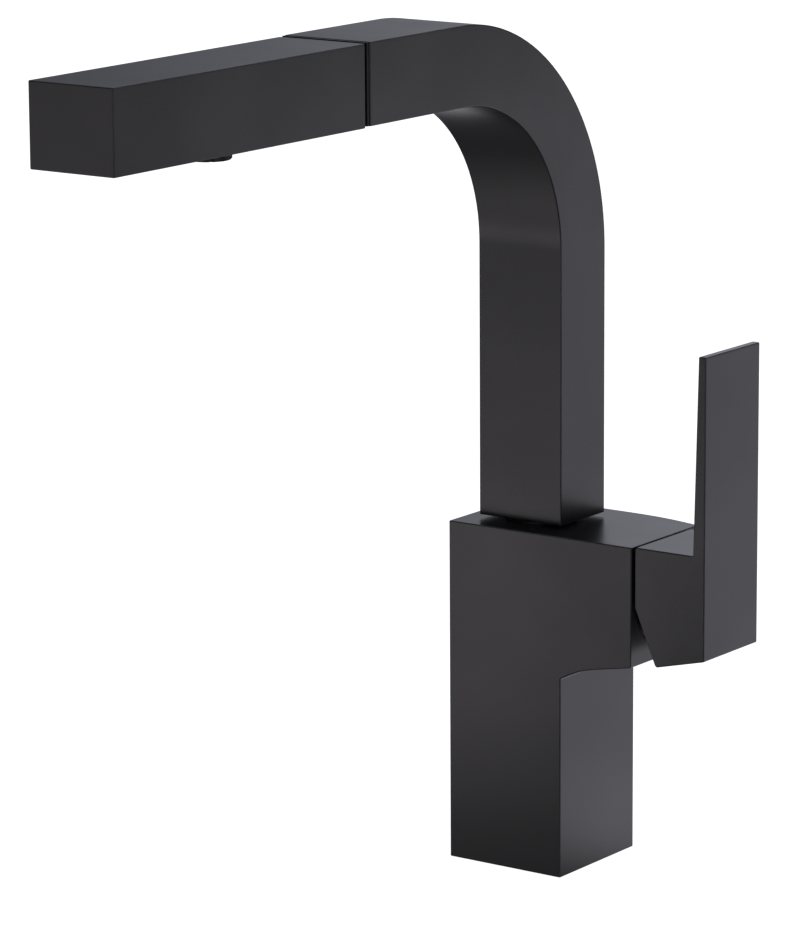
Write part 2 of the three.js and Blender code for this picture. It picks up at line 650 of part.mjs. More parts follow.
function waterway() {
  const tailEnd = CONNECTOR_FRONT_Y + 5.4;
  const front = AERATOR_Y - 8;
  return minus(
    plus(
      rod('y', 7.6, front, CONNECTOR_FRONT_Y - 1, armAt),
      rod('y', 6.2, CONNECTOR_FRONT_Y - 2, tailEnd, armAt),
      rod('z', BRANCH_RADIUS, SPRAY_BOTTOM + SPOUT_WALL + CLEARANCE, ARM_MIDDLE, aeratorAt),
    ),
    rod('y', 4.6, AERATOR_Y, tailEnd + OVERCUT, armAt),
    rod('z', BRANCH_BORE, SPRAY_BOTTOM, BRANCH_FLOOR, aeratorAt),
    rod('z', 4.6, BRANCH_FLOOR - OVERCUT, ARM_MIDDLE, aeratorAt),
  );
}

function aeratorInsert() {
  const from = AERATOR_BOTTOM + 1;
  const disc = rod('z', 6.2, from, from + 8, aeratorAt);
  const spokes = Array.from({ length: 8 }, (unused, index) => {
    const angle = index * Math.PI / 4;
    const place = [3.9 * Math.cos(angle), AERATOR_Y + 3.9 * Math.sin(angle), 0];
    return rod('z', 1.1, from - OVERCUT, from + 9, place, 8);
  });
  return minus(disc, ...spokes);
}

add('spray_shell', sprayShell(), BLACK_COAT);
add('spray_rear_cap', rearCap(), BLACK_PLASTIC);
add('neck_o_ring', ring('y', NECK_RADIUS - 0.6, NECK_RADIUS + 0.1, -126.6, -125, armAt), RUBBER);
add('shell_screw', shellScrew(), STEEL);
add('hose_connector', hoseConnector(), BRASS);
add('connector_washer', ring('y', 4.6, 6.2, CONNECTOR_FRONT_Y + 5.7, CONNECTOR_FRONT_Y + 7.7, armAt), RUBBER);
add('spray_waterway', waterway(), WHITE_PLASTIC);
add('check_valve', ring('y', 2.2, 4.3, CONNECTOR_FRONT_Y - 14, CONNECTOR_FRONT_Y - 2, armAt), GREY_PLASTIC);
add('aerator_housing', ring('z', 6.5, AERATOR_RADIUS, AERATOR_BOTTOM, 303.2, aeratorAt), BLACK_PLASTIC);
add('aerator_insert', aeratorInsert(), WHITE_PLASTIC);
add('aerator_washer', ring('z', 5.4, AERATOR_RADIUS, 303.5, BRANCH_FLOOR - CLEARANCE, aeratorAt), RUBBER);

export default group;
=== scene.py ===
"""Square pull-out kitchen mixer in satin black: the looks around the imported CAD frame. Metres, +Z up."""
import json
import math

import bmesh
import bpy
from mathutils import Matrix, Vector


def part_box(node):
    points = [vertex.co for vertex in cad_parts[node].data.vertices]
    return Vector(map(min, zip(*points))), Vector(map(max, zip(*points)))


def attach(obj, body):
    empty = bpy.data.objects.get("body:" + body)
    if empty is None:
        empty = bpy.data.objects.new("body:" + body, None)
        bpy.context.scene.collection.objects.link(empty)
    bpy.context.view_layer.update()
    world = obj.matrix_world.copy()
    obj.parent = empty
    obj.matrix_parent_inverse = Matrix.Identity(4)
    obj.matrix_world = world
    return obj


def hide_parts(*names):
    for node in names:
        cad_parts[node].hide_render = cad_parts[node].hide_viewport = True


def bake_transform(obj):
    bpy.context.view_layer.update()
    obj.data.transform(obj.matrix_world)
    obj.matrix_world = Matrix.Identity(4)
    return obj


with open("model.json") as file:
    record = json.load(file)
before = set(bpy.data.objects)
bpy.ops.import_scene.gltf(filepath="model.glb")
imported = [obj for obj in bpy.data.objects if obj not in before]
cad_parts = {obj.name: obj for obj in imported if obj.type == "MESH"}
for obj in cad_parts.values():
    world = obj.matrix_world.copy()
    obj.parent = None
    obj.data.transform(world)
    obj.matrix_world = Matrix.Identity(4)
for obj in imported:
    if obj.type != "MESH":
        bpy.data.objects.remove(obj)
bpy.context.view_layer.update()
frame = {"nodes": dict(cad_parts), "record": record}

MM = 0.001
SOFT_EDGE = 0.45 * MM          # rounding of the powder-coated edges
ROUND = 96                     # facets of a round piece
CLEAR = 0.3 * MM               # gap between pieces that touch
PAST = 1.0 * MM                # how far a cutter runs past a face


# ------------------------------------------------------------------ mesh tools
def new_object(name, mesh):
    made = bpy.data.objects.new(name, mesh)
    bpy.context.scene.collection.objects.link(made)
    return made


def from_bmesh(name, bm):
    bmesh.ops.remove_doubles(bm, verts=bm.verts, dist=1e-7)
    bmesh.ops.recalc_face_normals(bm, faces=bm.faces)
    mesh = bpy.data.meshes.new(name)
    bm.to_mesh(mesh)
    bm.free()
    return new_object(name, mesh)


def bake_modifiers(obj):
    """Replaces the object's mesh with the result of its modifiers."""
    bpy.context.view_layer.update()
    graph = bpy.context.evaluated_depsgraph_get()
    made = bpy.data.meshes.new_from_object(obj.evaluated_get(graph))
    obj.modifiers.clear()
    obj.data = made
    return obj


AXES = {"x": (1, 2, 0), "y": (0, 2, 1), "z": (0, 1, 2)}   # in-plane axes, then the length axis


def place(axis, u, v, along):
    point = [0.0, 0.0, 0.0]
    first, second, length = AXES[axis]
    point[first] = u
    point[second] = v
    point[length] = along
    return Vector(point)


def prism(name, outline, axis, low, high):
    """An outline of in-plane points pushed along an axis from low to high."""
    bm = bmesh.new()
    rows = [[bm.verts.new(place(axis, u, v, end)) for u, v in outline] for end in (low, high)]
    count = len(outline)
    bm.faces.new(rows[0])
    bm.faces.new(rows[1])
    for i in range(count):
        j = (i + 1) % count
        bm.faces.new((rows[0][i], rows[0][j], rows[1][j], rows[1][i]))
    return from_bmesh(name, bm)


def block(name, low, high):
    outline = [(low[0], low[1]), (high[0], low[1]), (high[0], high[1]), (low[0], high[1])]
    return prism(name, outline, "z", low[2], high[2])


def circle(bm, axis, centre, radius, along, sides):
    """A row of corners round an axis; one point when the radius is nothing."""
    if radius == 0:
        return [bm.verts.new(place(axis, *centre, along))]
    row = []
    for k in range(sides):
        angle = 2 * math.pi * k / sides
        u = centre[0] + radius * math.cos(angle)
        v = centre[1] + radius * math.sin(angle)
        row.append(bm.verts.new(place(axis, u, v, along)))
    return row


def turned(name, profile, axis, at, sides=ROUND, closed=True):
    """A solid turned about an axis through at, from (radius, distance along) points.

    A closed profile is a ring's whole section; an open one starts and ends on the axis.
    """
    bm = bmesh.new()
    centre = [at[k] for k in AXES[axis][:2]]
    rows = [circle(bm, axis, centre, radius, along, sides) for radius, along in profile]
    pairs = list(zip(rows, rows[1:]))
    if closed:
        pairs.append((rows[-1], rows[0]))
    for low, high in pairs:
        for k in range(sides):
            n = (k + 1) % sides
            corners = [low[k % len(low)], low[n % len(low)], high[n % len(high)], high[k % len(high)]]
            unique = list(dict.fromkeys(corners))
            if len(unique) > 2:        # two rows of one point leave nothing to cover
                bm.faces.new(unique)
    return from_bmesh(name, bm)


def rod(name, radius, axis, low, high, at, sides=ROUND, chamfer=0.0):
    """A solid cylinder; its ends may be chamfered."""
    c = chamfer
    if c:
        profile = [
            (0, low), (radius - c, low), (radius, low + c),
            (radius, high - c), (radius - c, high), (0, high),
        ]
    else:
        profile = [(0, low), (radius, low), (radius, high), (0, high)]
    return turned(name, profile, axis, at, sides, closed=False)


def ring_profile(inner, outer, low, high, chamfer):
    """Section of a flat ring with all four corners chamfered."""
    c = chamfer
    return [
        (inner + c, low), (outer - c, low), (outer, low + c), (outer, high - c),
        (outer - c, high), (inner + c, high), (inner, high - c), (inner, low + c),
    ]


def ring(name, inner, outer, axis, low, high, at, sides=ROUND, chamfer=0.15 * MM):
    return turned(name, ring_profile(inner, outer, low, high, chamfer), axis, at, sides)


def combine(target, others, operation):
    """Cuts or joins other solids, which are used up."""
    for other in others:
        step = target.modifiers.new("combine", "BOOLEAN")
        step.operation = operation
        step.solver = "EXACT"
        step.object = other
    bake_modifiers(target)
    for other in others:
        bpy.data.objects.remove(other, do_unlink=True)
    return target


def cut(target, *others):
    return combine(target, others, "DIFFERENCE")


def join(target, *others):
    return combine(target, others, "UNION")


def round_edges(obj, width=SOFT_EDGE, segments=3, above=40):
    """Rounds every edge that turns by more than the given angle."""
    step = obj.modifiers.new("round", "BEVEL")
    step.width = width
    step.segments = segments
    step.limit_method = "ANGLE"
    step.angle_limit = math.radians(above)
    step.use_clamp_overlap = False
    step.miter_outer = "MITER_ARC"
    return bake_modifiers(obj)


def settle_shading(obj, sharp_above=38):
    """Smooth shading that keeps flat faces flat and hard edges hard."""
    obj.data.shade_smooth()
    obj.data.set_sharp_from_angle(angle=math.radians(sharp_above))
    step = obj.modifiers.new("weights", "WEIGHTED_NORMAL")
    step.keep_sharp = True
    step.weight = 100
    return bake_modifiers(obj)


def arc(centre, radius, start, stop, count):
    """Points on an arc, angles in degrees."""
    points = []
    for k in range(count + 1):
        angle = math.radians(start + (stop - start) * k / count)
        points.append((centre[0] + radius * math.cos(angle), centre[1] + radius * math.sin(angle)))
    return points


def show(obj, body, slot, *nodes):
    """Hands a finished piece to the frame: its body, its finish and the CAD nodes it stands for."""
    settle_shading(obj)
    obj.data.materials.clear()
    obj.data.materials.append(SLOT_MATERIALS[slot])
    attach(obj, body)
    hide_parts(*nodes)
    return obj


# ------------------------------------------------------------------ materials
def link(tree, start, start_name, end, end_name):
    tree.links.new(start.outputs[start_name], end.inputs[end_name])


def node(tree, kind, **inputs):
    """A new node with some inputs set; an underscore stands for the space in an input's name."""
    made = tree.nodes.new(kind)
    for name, value in inputs.items():
        made.inputs[name.replace("_", " ")].default_value = value
    return made


def surface(name, roughness, metallic=0.0):
    """A new principled material, with its shader and a coordinate node in object space."""
    material = bpy.data.materials.new(name)
    material.use_nodes = True
    tree = material.node_tree
    shader = tree.nodes["Principled BSDF"]
    shader.inputs["Metallic"].default_value = metallic
    shader.inputs["Roughness"].default_value = roughness
    coordinates = tree.nodes.new("ShaderNodeTexCoord")
    return material, tree, shader, coordinates


def noise(tree, coordinates, scale, detail, roughness=0.5, stretch=None):
    """A noise texture in object space, finer along an axis that is stretched."""
    made = node(tree, "ShaderNodeTexNoise", Scale=scale, Detail=detail, Roughness=roughness)
    if stretch:
        mapping = tree.nodes.new("ShaderNodeMapping")
        mapping.inputs["Scale"].default_value = stretch
        link(tree, coordinates, "Object", mapping, "Vector")
        link(tree, mapping, "Vector", made, "Vector")
    else:
        link(tree, coordinates, "Object", made, "Vector")
    return made


def spread(tree, source, output, low, high, from_low=0.35, from_high=0.65):
    """Maps a noise value onto a range."""
    made = node(tree, "ShaderNodeMapRange", From_Min=from_low, From_Max=from_high,
                To_Min=low, To_Max=high)
    link(tree, source, output, made, "Value")
    return made


def tint(tree, source, output, dark, light):
    """Blends between two colours by a value between 0 and 1."""
    made = tree.nodes.new("ShaderNodeMix")
    made.data_type = "RGBA"
    made.inputs["A"].default_value = (*dark, 1)
    made.inputs["B"].default_value = (*light, 1)
    link(tree, source, output, made, "Factor")
    return made


def bump(tree, source, output, shader, strength, distance):
    made = node(tree, "ShaderNodeBump", Strength=strength, Distance=distance)
    link(tree, source, output, made, "Height")
    link(tree, made, "Normal", shader, "Normal")
    return made


COAT_DARK = (0.016, 0.0157, 0.0165)
COAT_LIGHT = (0.024, 0.0236, 0.0247)
COAT_GLOSS = (0.278, 0.315)     # roughness of the glossiest and of the dullest patches
CLOUD_SCALE = 22.0              # of the patches, per metre
PEEL_SCALE = 1500.0             # of the orange peel
FLECK_SCALE = 3200.0            # of the colour's specks
PEEL_DEPTH = 0.02 * MM


def powder_coat():
    """Satin black powder coat: fine orange peel, faint cloudiness and a slightly uneven gloss."""
    material, tree, shader, coordinates = surface("black_powder_coat", 0.4)
    peel = noise(tree, coordinates, PEEL_SCALE, 2.0)
    cloud = noise(tree, coordinates, CLOUD_SCALE, 3.0)
    fleck = noise(tree, coordinates, FLECK_SCALE, 1.0)
    gloss = spread(tree, cloud, "Fac", *COAT_GLOSS)
    link(tree, gloss, "Result", shader, "Roughness")
    mottled = spread(tree, fleck, "Fac", 0.0, 1.0)
    colour = tint(tree, mottled, "Result", COAT_DARK, COAT_LIGHT)
    link(tree, colour, "Result", shader, "Base Color")
    bump(tree, peel, "Fac", shader, 0.10, PEEL_DEPTH)
    return material


GRAIN_DEPTH = 0.04 * MM
MOULDED_UNEVEN = 0.05           # how far the roughness strays either way


def moulded(name, dark, light, roughness, grain=900.0):
    """Moulded plastic or rubber with a fine eroded grain."""
    material, tree, shader, coordinates = surface(name, roughness)
    texture = noise(tree, coordinates, grain, 3.0)
    shade = spread(tree, texture, "Fac", 0.0, 1.0)
    colour = tint(tree, shade, "Result", dark, light)
    link(tree, colour, "Result", shader, "Base Color")
    uneven = spread(tree, texture, "Fac", roughness - MOULDED_UNEVEN, roughness + MOULDED_UNEVEN)
    link(tree, uneven, "Result", shader, "Roughness")
    bump(tree, texture, "Fac", shader, 0.15, GRAIN_DEPTH)
    return material


STREAK_SCALE = 60.0
STREAK_STRETCH = (1.0, 30.0, 1.0)   # tool marks lie close together along Y
STREAK_DEPTH = 0.03 * MM
MACHINED_UNEVEN = 0.07


def machined(name, dark, light, roughness):
    """Turned or brushed metal with fine tool marks."""
    material, tree, shader, coordinates = surface(name, roughness, metallic=1.0)
    streaks = noise(tree, coordinates, STREAK_SCALE, 4.0, 0.6, STREAK_STRETCH)
    shade = spread(tree, streaks, "Fac", 0.0, 1.0)
    colour = tint(tree, shade, "Result", dark, light)
    link(tree, colour, "Result", shader, "Base Color")
    uneven = spread(tree, streaks, "Fac", roughness - MACHINED_UNEVEN, roughness + MACHINED_UNEVEN)
    link(tree, uneven, "Result", shader, "Roughness")
    bump(tree, streaks, "Fac", shader, 0.08, STREAK_DEPTH)
    return material


SLOT_MATERIALS = {
    "black_coat": powder_coat(),
    "black_plastic": moulded("black_plastic", (0.010, 0.010, 0.011), (0.018, 0.018, 0.019), 0.5),
    "grey_plastic": moulded("grey_acetal", (0.24, 0.25, 0.27), (0.33, 0.34, 0.36), 0.45),
    "white_plastic": moulded("white_plastic", (0.68, 0.68, 0.65), (0.78, 0.78, 0.75), 0.42),
    "ceramic": moulded("alumina", (0.80, 0.78, 0.72), (0.88, 0.86, 0.81), 0.18, 2400.0),
    "rubber": moulded("black_rubber", (0.012, 0.012, 0.012), (0.022, 0.022, 0.022), 0.7, 1400.0),
    "brass": machined("machined_brass", (0.56, 0.40, 0.16), (0.70, 0.53, 0.25), 0.28),
    "steel": machined("machined_steel", (0.48, 0.49, 0.51), (0.66, 0.67, 0.69), 0.26),
}


# ------------------------------------------------------------------ camera
AZIMUTH = math.radians(35.916)
ELEVATION = math.radians(12.204)
ROLL = math.radians(-0.377)
DISTANCE = 1.7033
LOOK_AT = Vector((-0.0002, -0.0949, 0.1651))
LENS = 182.76                  # millimetres
SENSOR = 36                    # millimetres


def make_camera():
    data = bpy.data.cameras.new("camera")
    data.sensor_width = SENSOR
    data.lens = LENS
    data.clip_end = 50
    camera = new_object("camera", data)
    level = math.cos(ELEVATION)
    back = Vector((math.sin(AZIMUTH) * level, -math.cos(AZIMUTH) * level, math.sin(ELEVATION)))
    right = Vector((math.cos(AZIMUTH), math.sin(AZIMUTH), 0))
    up = back.cross(right)
    rolled_right = right * math.cos(ROLL) + up * math.sin(ROLL)
    rolled_up = up * math.cos(ROLL) - right * math.sin(ROLL)
    turn = Matrix((rolled_right, rolled_up, back)).transposed()
    camera.matrix_world = Matrix.Translation(LOOK_AT + back * DISTANCE) @ turn.to_4x4()
    bpy.context.scene.camera = camera


make_camera()


# ------------------------------------------------------------------ body
BODY_HALF = 25 * MM
HEAD_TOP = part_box("faucet_body")[1].z
HEAD_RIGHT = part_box("faucet_body")[1].x
HEAD_UNDER = 85.2 * MM          # height of the head's underside at the lever side
HEAD_SLOPE = 0.185              # rise of the underside towards the lever side
HEAD_ARC = 45 * MM              # radius of the underside near the column
HEAD_ARC_REACH = 15 * MM        # how far from the column that arc runs
HEAD_BACK_ARC = 107 * MM        # the back draws in towards the lever on this radius
CHAMBER_HALF = 21 * MM
CHAMBER_TOP = 70 * MM
STUD = (-16 * MM, 0, 0)         # the fixing stud's axis
STUD_BOSS_RADIUS = 5.4 * MM
AXIS_Y = (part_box("cartridge_cover")[0].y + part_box("cartridge_cover")[1].y) / 2
AXIS_Z = (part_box("cartridge_cover")[0].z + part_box("cartridge_cover")[1].z) / 2
CARTRIDGE = (0, AXIS_Y, AXIS_Z)


def body_outline():
    """Front view: the underside rises straight to the lever side and curves down to the column."""
    slope = math.atan(HEAD_SLOPE)
    tangent_x = BODY_HALF + HEAD_ARC_REACH
    tangent_z = HEAD_UNDER - HEAD_SLOPE * (HEAD_RIGHT - tangent_x)
    centre = (tangent_x + HEAD_ARC * math.sin(slope), tangent_z - HEAD_ARC * math.cos(slope))
    at_column = math.degrees(math.acos((BODY_HALF - centre[0]) / HEAD_ARC))
    return [
        (-BODY_HALF, 0), (BODY_HALF, 0),
        *arc(centre, HEAD_ARC, at_column, 90 + math.degrees(slope), 24),
        (HEAD_RIGHT, HEAD_UNDER), (HEAD_RIGHT, HEAD_TOP), (-BODY_HALF, HEAD_TOP),
    ]


def body_plan():
    """Plan view, oversize except at the back: flat behind the column, then an arc towards the lever."""
    side = BODY_HALF + PAST
    end = HEAD_RIGHT + PAST
    sweep = math.degrees(math.asin((end - BODY_HALF) / HEAD_BACK_ARC))
    curve = arc((BODY_HALF, BODY_HALF - HEAD_BACK_ARC), HEAD_BACK_ARC, 90, 90 - sweep, 24)
    return [(-side, -side), (-side, BODY_HALF), *curve, (end, -side)]


def countersunk(name, radius, axis, mouth, depth, at, flare=0.35 * MM):
    """A cutter for a bore whose mouth is chamfered; depth may run either way from the mouth."""
    way = 1 if depth > mouth else -1
    profile = [
        (0, mouth - way * PAST), (radius + flare, mouth - way * PAST), (radius + flare, mouth),
        (radius, mouth + way * flare), (radius, depth), (0, depth),
    ]
    return turned(name, profile, axis, at, closed=False)


def make_chamber():
    """The space for the hoses, open below, around the boss for the fixing stud."""
    half = CHAMBER_HALF
    chamber = block("chamber", (-half, -half, -PAST), (half, half, CHAMBER_TOP))
    return cut(chamber, rod("boss", STUD_BOSS_RADIUS, "z", -2 * PAST, CHAMBER_TOP + PAST, STUD))


SOCKET_X = 16 * MM
SUPPLY_RADIUS = 4.6 * MM
SUPPLY_OFFSET = 7 * MM          # either side of the cartridge's axis
SUPPLY_TOP = 84 * MM
OUTLET_RADIUS = 3 * MM
OUTLET_Y = 11 * MM
OUTLET_TOP = 105 * MM


def make_sockets():
    """Two supply sockets and the outlet socket in the chamber's roof."""
    roof = CHAMBER_TOP - PAST
    sockets = [
        rod("supply", SUPPLY_RADIUS, "z", roof, SUPPLY_TOP, (SOCKET_X, AXIS_Y + side, 0))
        for side in (-SUPPLY_OFFSET, SUPPLY_OFFSET)
    ]
    sockets.append(rod("outlet", OUTLET_RADIUS, "z", roof, OUTLET_TOP, (SOCKET_X, OUTLET_Y, 0)))
    return sockets


SEAL_OUTER = 24 * MM            # half widths of the seal's square groove
SEAL_INNER = 22 * MM
SEAL_DEPTH = 1.8 * MM
HOSE_BORE = 9.2 * MM
CARTRIDGE_BORE = 14.3 * MM
CARTRIDGE_BORE_START = 21 * MM
NUT_BORE_START = 46 * MM
STUD_HOLE_RADIUS = 3.4 * MM
STUD_HOLE_DEPTH = 30 * MM


def make_groove():
    outer = SEAL_OUTER
    inner = SEAL_INNER
    return cut(block("groove", (-outer, -outer, -PAST), (outer, outer, SEAL_DEPTH)),
               block("core", (-inner, -inner, -2 * PAST), (inner, inner, 3 * MM)))


def make_body():
    solid = prism("body_casting", body_outline(), "y", -BODY_HALF, BODY_HALF + PAST)
    combine(solid, [prism("plan", body_plan(), "z", -PAST, HEAD_TOP + PAST)], "INTERSECT")
    round_edges(solid)
    spigot_low, spigot_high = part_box("swivel_spigot")
    washer_low, washer_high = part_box("swivel_ring")
    washer_seat = washer_high.x + CLEAR
    spigot_seat = spigot_high.x + CLEAR
    seat_floor = spigot_low.z - CLEAR
    bore_end = spigot_low.z + PAST
    nut = (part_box("cartridge_cover")[1].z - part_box("cartridge_cover")[0].z) / 2 + CLEAR
    axis = (0, 0, 0)
    cut(solid, make_chamber())
    cut(solid, make_groove())
    cut(solid, countersunk("washer_seat", washer_seat, "z", HEAD_TOP, washer_low.z - CLEAR, axis))
    cut(solid, rod("spigot_seat", spigot_seat, "z", seat_floor, washer_low.z, axis))
    cut(solid, rod("hose_bore", HOSE_BORE, "z", CHAMBER_TOP - PAST, bore_end, axis))
    cut(solid, countersunk("nut_bore", nut, "x", HEAD_RIGHT, NUT_BORE_START, CARTRIDGE, 0.5 * MM))
    cut(solid, rod("cartridge_bore", CARTRIDGE_BORE, "x", CARTRIDGE_BORE_START,
                   NUT_BORE_START + PAST, CARTRIDGE))
    cut(solid, countersunk("stud_hole", STUD_HOLE_RADIUS, "z", 0, STUD_HOLE_DEPTH, STUD, 0.6 * MM))
    for socket in make_sockets():
        cut(solid, socket)
    return show(solid, "body", "black_coat", "faucet_body")


make_body()


# ------------------------------------------------------------------ spout
SPOUT_LOW, SPOUT_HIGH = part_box("spout_tube")
HALF_WIDTH = SPOUT_HIGH.x
HALF_DEPTH = SPOUT_HIGH.y
ARM_TOP = SPOUT_HIGH.z
ARM_BOTTOM = ARM_TOP - 2 * HALF_DEPTH
ARM_MIDDLE = ARM_TOP - HALF_DEPTH
BEND_OUTER = 92 * MM
BEND_INNER = 60 * MM
WALL = 1.8 * MM
ARM_AXIS = (0, 0, ARM_MIDDLE)


def spout_outline(inset, bottom, mouth):
    """Side view of the riser, the bend and the arm, drawn in by the inset."""
    outer = (HALF_DEPTH - BEND_OUTER, ARM_TOP - BEND_OUTER)
    inner = (-HALF_DEPTH - BEND_INNER, ARM_BOTTOM - BEND_INNER)
    return [
        (HALF_DEPTH - inset, bottom),
        *arc(outer, BEND_OUTER - inset, 0, 90, 72),
        (mouth, ARM_TOP - inset), (mouth, ARM_BOTTOM + inset),
        *arc(inner, BEND_INNER + inset, 90, 0, 56),
        (inset - HALF_DEPTH, bottom),
    ]


def make_spout():
    outside = spout_outline(0, SPOUT_LOW.z, SPOUT_LOW.y)
    inside = spout_outline(WALL, SPOUT_LOW.z - PAST, SPOUT_LOW.y - PAST)
    solid = prism("spout_shell", outside, "x", -HALF_WIDTH, HALF_WIDTH)
    round_edges(solid)
    cut(solid, prism("hollow", inside, "x", WALL - HALF_WIDTH, HALF_WIDTH - WALL))
    screw_low, screw_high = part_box("swivel_stop_screw")
    screw_at = (0, 0, (screw_low.z + screw_high.z) / 2)
    hole = screw_high.x + CLEAR
    hole_floor = HALF_DEPTH - 4 * MM
    cut(solid, countersunk("screw_hole", hole, "y", HALF_DEPTH, hole_floor, screw_at))
    return show(solid, "spout", "black_coat", "spout_tube")


make_spout()


RING_BORE = 11.5 * MM


def make_swivel_ring():
    low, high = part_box("swivel_ring")
    solid = ring("swivel_washer", RING_BORE, high.x, "z", low.z, high.z, (0, 0, 0), chamfer=0.25 * MM)
    return show(solid, "body", "black_plastic", "swivel_ring")


make_swivel_ring()


COLLAR_INSET = 0.15 * MM        # the flange stands in this far from the spout's faces
FLANGE_GAP = 0.5 * MM           # between the flange and the spout's mouth


def make_collar():
    low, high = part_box("dock_collar")
    flange_back = SPOUT_LOW.y - FLANGE_GAP
    flange = block("docking_collar", (low.x + COLLAR_INSET, low.y, low.z + COLLAR_INSET),
                   (high.x - COLLAR_INSET, flange_back, high.z - COLLAR_INSET))
    round_edges(flange, 0.2 * MM, 2)
    inset = WALL + CLEAR
    sleeve = block("sleeve", (low.x + inset, flange_back - 0.3 * MM, low.z + inset),
                   (high.x - inset, high.y, high.z - inset))
    round_edges(sleeve, 0.6 * MM, 2)
    join(flange, sleeve)
    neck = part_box("neck_o_ring")[1].x + 0.2 * MM
    cut(flange, countersunk("socket", neck, "y", low.y, high.y + PAST, ARM_AXIS, 0.8 * MM))
    return show(flange, "spout", "black_plastic", "dock_collar")


make_collar()


# ------------------------------------------------------------------ spray head
SPRAY_LOW, SPRAY_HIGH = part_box("spray_shell")
SPRAY_TIP_HALF = 17.6 * MM      # half the width at the tip
AERATOR_LOW, AERATOR_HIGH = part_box("aerator_housing")
AERATOR = ((AERATOR_LOW.x + AERATOR_HIGH.x) / 2, (AERATOR_LOW.y + AERATOR_HIGH.y) / 2, 0)


def spray_block(name, inset, front, rear):
    """A block that narrows from the spray head's rear towards its tip."""
    narrowing = 2 * (SPRAY_HIGH.x - SPRAY_TIP_HALF) / (SPRAY_HIGH.y - SPRAY_LOW.y)
    tip = SPRAY_HIGH.x - inset - narrowing * (SPRAY_HIGH.y - front) / 2
    back = SPRAY_HIGH.x - inset - narrowing * (SPRAY_HIGH.y - rear) / 2
    outline = [(-tip, front), (tip, front), (back, rear), (-back, rear)]
    return prism(name, outline, "z", SPRAY_LOW.z + inset, SPRAY_HIGH.z - inset)


def make_spray_shell():
    solid = spray_block("spray_head_shell", 0, SPRAY_LOW.y, SPRAY_HIGH.y)
    round_edges(solid)
    cut(solid, spray_block("hollow", WALL, SPRAY_LOW.y + WALL, SPRAY_HIGH.y + PAST))
    outlet = AERATOR_HIGH.x + CLEAR
    cut(solid, countersunk("aerator_hole", outlet, "z", SPRAY_LOW.z, ARM_MIDDLE, AERATOR))
    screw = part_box("shell_screw")[1]
    at = (0, screw.y - screw.x, 0)
    cut(solid, countersunk("screw_hole", screw.x + CLEAR, "z", SPRAY_LOW.z, ARM_MIDDLE, at))
    return show(solid, "spray_head", "black_coat", "spray_shell")


NECK_RADIUS = 10 * MM
NECK_BORE = 8.2 * MM
NECK_TAPER = 1.2 * MM
GROOVE_DEPTH = 0.9 * MM
FLUTES = 4
FLUTE_RADIUS = 0.8 * MM
FLUTE_END = 1.5 * MM            # how far the flutes stay from the plate and from the groove


def make_neck():
    """The plate behind the shell and the fluted neck that docks in the collar."""
    low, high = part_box("spray_rear_cap")
    face = SPRAY_HIGH.y + 0.2 * MM
    plate = block("spray_neck", (low.x, low.y, low.z), (high.x, face, high.z))
    round_edges(plate, 0.3 * MM, 2)
    outer = NECK_RADIUS
    neck = turned("neck", [
        (0, low.y + PAST), (outer, low.y + PAST), (outer, high.y - NECK_TAPER),
        (outer - NECK_TAPER, high.y), (0, high.y),
    ], "y", ARM_AXIS, closed=False)
    join(plate, neck)
    seal_low, seal_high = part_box("neck_o_ring")
    groove_start = seal_low.y - CLEAR
    groove_end = seal_high.y + CLEAR
    cut(plate, rod("bore", NECK_BORE, "y", low.y - PAST, high.y + PAST, ARM_AXIS))
    cut(plate, ring("groove", outer - GROOVE_DEPTH, outer + PAST, "y", groove_start, groove_end,
                    ARM_AXIS, chamfer=0.05 * MM))
    for flute in range(FLUTES):
        angle = math.radians(45 + 360 / FLUTES * flute)
        at = (outer * math.cos(angle), 0, ARM_MIDDLE + outer * math.sin(angle))
        cut(plate, rod("flute", FLUTE_RADIUS, "y", face + FLUTE_END, seal_low.y - FLUTE_END, at, 24))
    return show(plate, "spray_head", "black_plastic", "spray_rear_cap")


def make_o_ring():
    low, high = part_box("neck_o_ring")
    thick = (high.y - low.y) / 2
    middle = (high.y + low.y) / 2
    section = arc((high.x - thick, middle), thick, 0, 330, 11)      # twelve points round the section
    solid = turned("neck_seal", section, "y", ARM_AXIS)
    return show(solid, "spray_head", "rubber", "neck_o_ring")


CRIMP_LENGTH = 17 * MM
CRIMP_RIBS = 5
CRIMP_PITCH = 2.4 * MM
HOSE_END_BORE = 4.2 * MM
SOCKET_RADIUS = 6.6 * MM
SOCKET_DEPTH = 8 * MM
CRIMP_END_RADIUS = 6.2 * MM


def make_connector():
    """Brass hose end: a socket at the front, a ribbed crimp at the back."""
    low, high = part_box("hose_connector")
    outer = high.x
    crimp_start = high.y - CRIMP_LENGTH
    profile = [
        (HOSE_END_BORE, low.y + SOCKET_DEPTH), (SOCKET_RADIUS, low.y + SOCKET_DEPTH),
        (SOCKET_RADIUS, low.y), (outer, low.y), (outer, crimp_start),
    ]
    for rib in range(CRIMP_RIBS):
        start = crimp_start + rib * CRIMP_PITCH
        profile += [
            (outer - 0.7 * MM, start + 0.5 * MM), (outer - 0.7 * MM, start + 1.3 * MM),
            (outer - 0.1 * MM, start + 1.8 * MM), (outer - 0.1 * MM, start + CRIMP_PITCH),
        ]
    profile += [(CRIMP_END_RADIUS, high.y), (HOSE_END_BORE, high.y)]
    solid = turned("hose_fitting", profile, "y", ARM_AXIS)
    return show(solid, "spray_head", "brass", "hose_connector")


